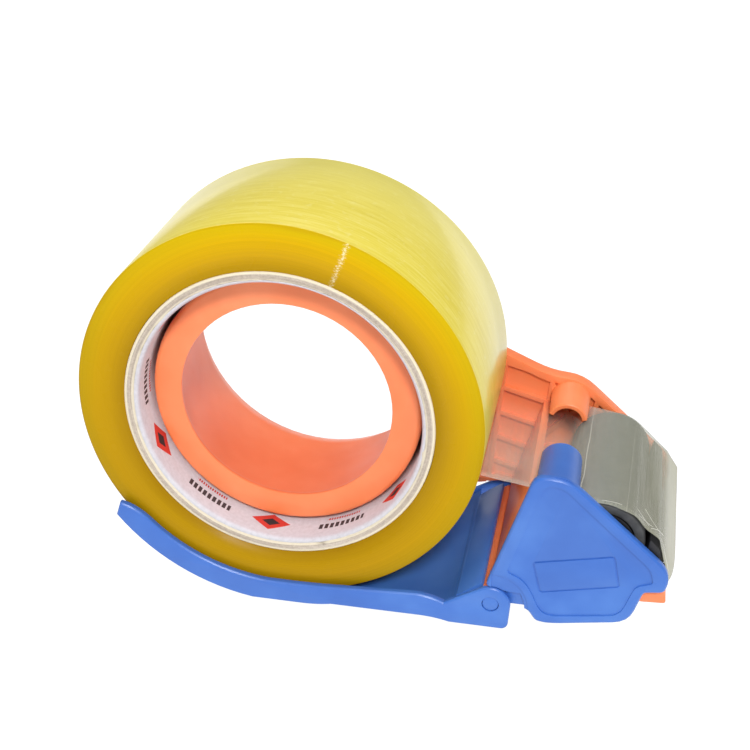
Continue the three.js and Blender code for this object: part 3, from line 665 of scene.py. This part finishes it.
def make_liner(material):
    """Printed liner that follows the crushed corner of the core."""
    thin = CORE_INNER - 0.02 - LABEL_INNER
    flare = CORE_INNER + CRUSHED_IN - 0.3
    far_end = TAPE_WIDTH - 0.5
    profile = [
        (LABEL_INNER, CRUSHED_BACK + 0.2), (flare - 0.15, 0.35), (flare, 0.5),
        (LABEL_INNER + thin, CRUSHED_BACK + 0.3), (LABEL_INNER + thin, far_end), (LABEL_INNER, far_end),
    ]
    obj = lathe("core_liner", profile, ROUND_STEPS)
    paint(obj, material)
    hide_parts("core_label")
    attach(obj, "roll")


# ---- Pulled tape ---------------------------------------------------------------------------------
# Places are (x, z) in mm from the hub's axis. The last DROOP_RUN mm of the tape hang down at its near edge.
ROLLER_FROM_HUB = (JOINT_AT["roller_spin"] - HUB) / MM
ROLLER_CENTRE = Vector((ROLLER_FROM_HUB.x, ROLLER_FROM_HUB.z))
WEB_START = Vector((53.05, -10.3))
ROLLER_RADIUS = 10.8
WEB_CORNER = Vector((100.9, -26.3))
WEB_END = Vector((104.2, -31.4))
WEB_LIFT = 0.35
WEB_MOST_X = 104.6
WEB_THICKNESS = 0.06
ROLLER_STEPS = 24
EDGE_WIDTH = 4.0
DROOP_RUN = 9
DROOP_FALL = 5.4
DROOP_TUCK = 2.2
FLAT_RUN = 30
RIPPLE = 0.04
CURL = (0.35, 0.25)


def web_path(steps):
    """Points in (x, z) along the tape: from the roll, round the roller, over the guard, to its end."""
    radius = ROLLER_RADIUS + WEB_LIFT
    back = WEB_START - ROLLER_CENTRE
    first = math.atan2(back.y, back.x) - math.acos(radius / back.length)
    on = WEB_CORNER - ROLLER_CENTRE
    last = math.atan2(on.y, on.x) + math.acos(radius / on.length)
    chain = [WEB_START]
    for i in range(ROLLER_STEPS + 1):
        angle = first + (last - first) * i / ROLLER_STEPS
        chain.append(ROLLER_CENTRE + radius * Vector((math.cos(angle), math.sin(angle))))
    chain += [WEB_CORNER, WEB_END]
    lengths = np.cumsum([0] + [(b - a).length for a, b in zip(chain, chain[1:])])
    samples = np.linspace(0, lengths[-1], steps)
    xs = np.interp(samples, lengths, [p.x for p in chain])
    zs = np.interp(samples, lengths, [p.y for p in chain])
    return samples, xs, zs


def make_web(film):
    along, across = 150, 96
    samples, xs, zs = web_path(along)
    dx, dz = np.gradient(xs), np.gradient(zs)
    size = np.hypot(dx, dz)
    nx, nz = -dz / size, dx / size
    near_edge = np.exp(-np.linspace(0, TAPE_WIDTH, across) / EDGE_WIDTH)
    verts = []
    for side in (0, 1):
        for i in range(along):
            for j in range(across):
                y = TAPE_WIDTH * j / (across - 1)
                t = samples[i]
                free = 1 / (1 + math.exp(-(t - FLAT_RUN) / 3)) if t < 2 * FLAT_RUN else 1
                ripple = RIPPLE * math.sin(t * 0.9) * math.sin(y * 0.12 + 1.3)
                curl = near_edge[j] * (CURL[0] + CURL[1] * math.sin(t * 0.8 + 0.6)) * free
                lift = ripple + curl + side * WEB_THICKNESS
                droop = max(0, 1 - (samples[-1] - t) / DROOP_RUN) * (1 - y / TAPE_WIDTH)
                tuck = DROOP_TUCK * droop * near_edge[j]
                x = min(xs[i] + nx[i] * lift - tuck, WEB_MOST_X + side * WEB_THICKNESS)
                verts.append(at(x, y, zs[i] + nz[i] * lift - DROOP_FALL * droop))
    faces = []
    top = along * across
    for i in range(along - 1):
        for j in range(across - 1):
            a, b, c, d = i * across + j, i * across + j + 1, (i + 1) * across + j + 1, (i + 1) * across + j
            faces += [(a, b, c, d), (top + a, top + d, top + c, top + b)]
    rim = [i * across for i in range(along)]
    rim += [(along - 1) * across + j for j in range(1, across)]
    rim += [i * across + across - 1 for i in range(along - 2, -1, -1)]
    rim += [j for j in range(across - 2, 0, -1)]
    for a, b in zip(rim, rim[1:] + rim[:1]):
        faces.append((a, b, top + b, top + a))
    obj = new_object("pulled_tape", verts, faces)
    outward(obj)
    paint(obj, film)
    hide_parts("tape_web")
    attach(obj, "frame")


# ---- Assembly -----------------------------------------------------------------------------------
def main():
    make_camera()
    make_stage()
    orange, blue, black = orange_plastic(), blue_plastic(), black_plastic()
    bright = steel("bright_steel", (196, 198, 202), (0.22, 0.36))
    blade_steel = steel("blade_steel", (206, 208, 212), (0.16, 0.3))
    looks = {
        "side_plate": (orange, 0.3), "hub_drum": (orange, 1.0), "frame_wall": (orange, 0.3),
        "cover_plate": (blue, 0.2), "hold_down_arm": (blue, 0.2), "hinge_pin": (blue, 0.35),
        "roller_sleeve": (roller_rubber(), 0.25), "roller_spool": (black, 0.2),
        "roller_axle": (bright, 0.3), "blade": (blade_steel, 0), "blade_guard": (black, 0.25),
        "blade_screw_1": (bright, 0.1), "blade_screw_2": (bright, 0.1),
        "case_screw_1": (bright, 0.1), "case_screw_2": (bright, 0.1), "case_screw_3": (bright, 0.1),
    }
    for node, (material, rounding) in looks.items():
        paint(round_edges(node, rounding), material)
    make_winding(roll_face(), roll_outside())
    make_core(core_paper())
    make_liner(printed_liner())
    make_web(clear_film())


main()
